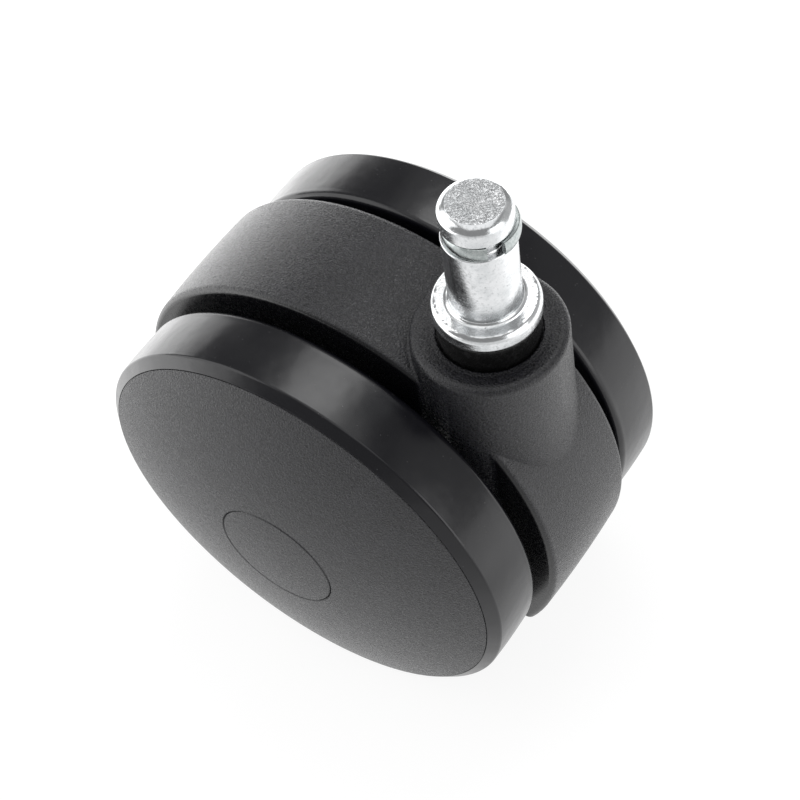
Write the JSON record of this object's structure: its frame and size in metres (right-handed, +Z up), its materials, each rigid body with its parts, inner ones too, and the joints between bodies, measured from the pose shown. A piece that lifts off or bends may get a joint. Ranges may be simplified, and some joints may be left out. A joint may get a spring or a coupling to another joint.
{
  "type": "chair caster",
  "caption": "Hooded twin-wheel swivel chair caster with domed wheel covers and a plug-in grip-ring stem.",
  "frame": {"origin": "on the stem's axis at the upper face of its flange, where the chair base seats", "axes": "+Z up along the stem, +X the way the caster travels with its axle trailing behind at -X, +Y towards the left wheel, along the axle"},
  "size_m": [0.0805, 0.0634, 0.1071],
  "materials": {
    "zinc_steel": "bright zinc plated, turned",
    "spring_steel": "plated spring steel",
    "housing_nylon": "fine spark-eroded grain, black",
    "cover_nylon": "fine spark-eroded grain, black",
    "core_nylon": "plain moulded, black",
    "bush_acetal": "smooth moulded, black",
    "tread": "smooth semi-gloss, black"
  },
  "bodies": {
    "stem": {"stem": "zinc_steel", "stem_snap_ring": "spring_steel"},
    "grip_ring": {"grip_ring": "spring_steel"},
    "housing": {"housing": "housing_nylon", "swivel_bush": "bush_acetal", "thrust_disc": "zinc_steel", "axle": "zinc_steel", "left_axle_washer": "bush_acetal", "right_axle_washer": "bush_acetal", "left_axle_clip": "spring_steel", "right_axle_clip": "spring_steel"},
    "left_wheel": {"left_wheel_core": "core_nylon", "left_tyre": "tread", "left_wheel_cover": "cover_nylon", "left_hub_cap": "cover_nylon", "left_hub_bush": "bush_acetal"},
    "right_wheel": {"right_wheel_core": "core_nylon", "right_tyre": "tread", "right_wheel_cover": "cover_nylon", "right_hub_cap": "cover_nylon", "right_hub_bush": "bush_acetal"}
  },
  "joints": [
    {"name": "ring_float", "type": "slide", "parent": "stem", "child": "grip_ring", "axis": [0.829, 0.5592, 0], "range_m": [-0.0009, 0]},
    {"name": "swivel", "type": "hinge", "parent": "stem", "child": "housing", "pos_m": [0, 0, 0], "axis": [0, 0, 1], "continuous": true},
    {"name": "left_wheel_spin", "type": "hinge", "parent": "housing", "child": "left_wheel", "pos_m": [-0.02445, 0, -0.0482], "axis": [0, 1, 0], "continuous": true},
    {"name": "right_wheel_spin", "type": "hinge", "parent": "housing", "child": "right_wheel", "pos_m": [-0.02445, 0, -0.0482], "axis": [0, 1, 0], "continuous": true}
  ]
}
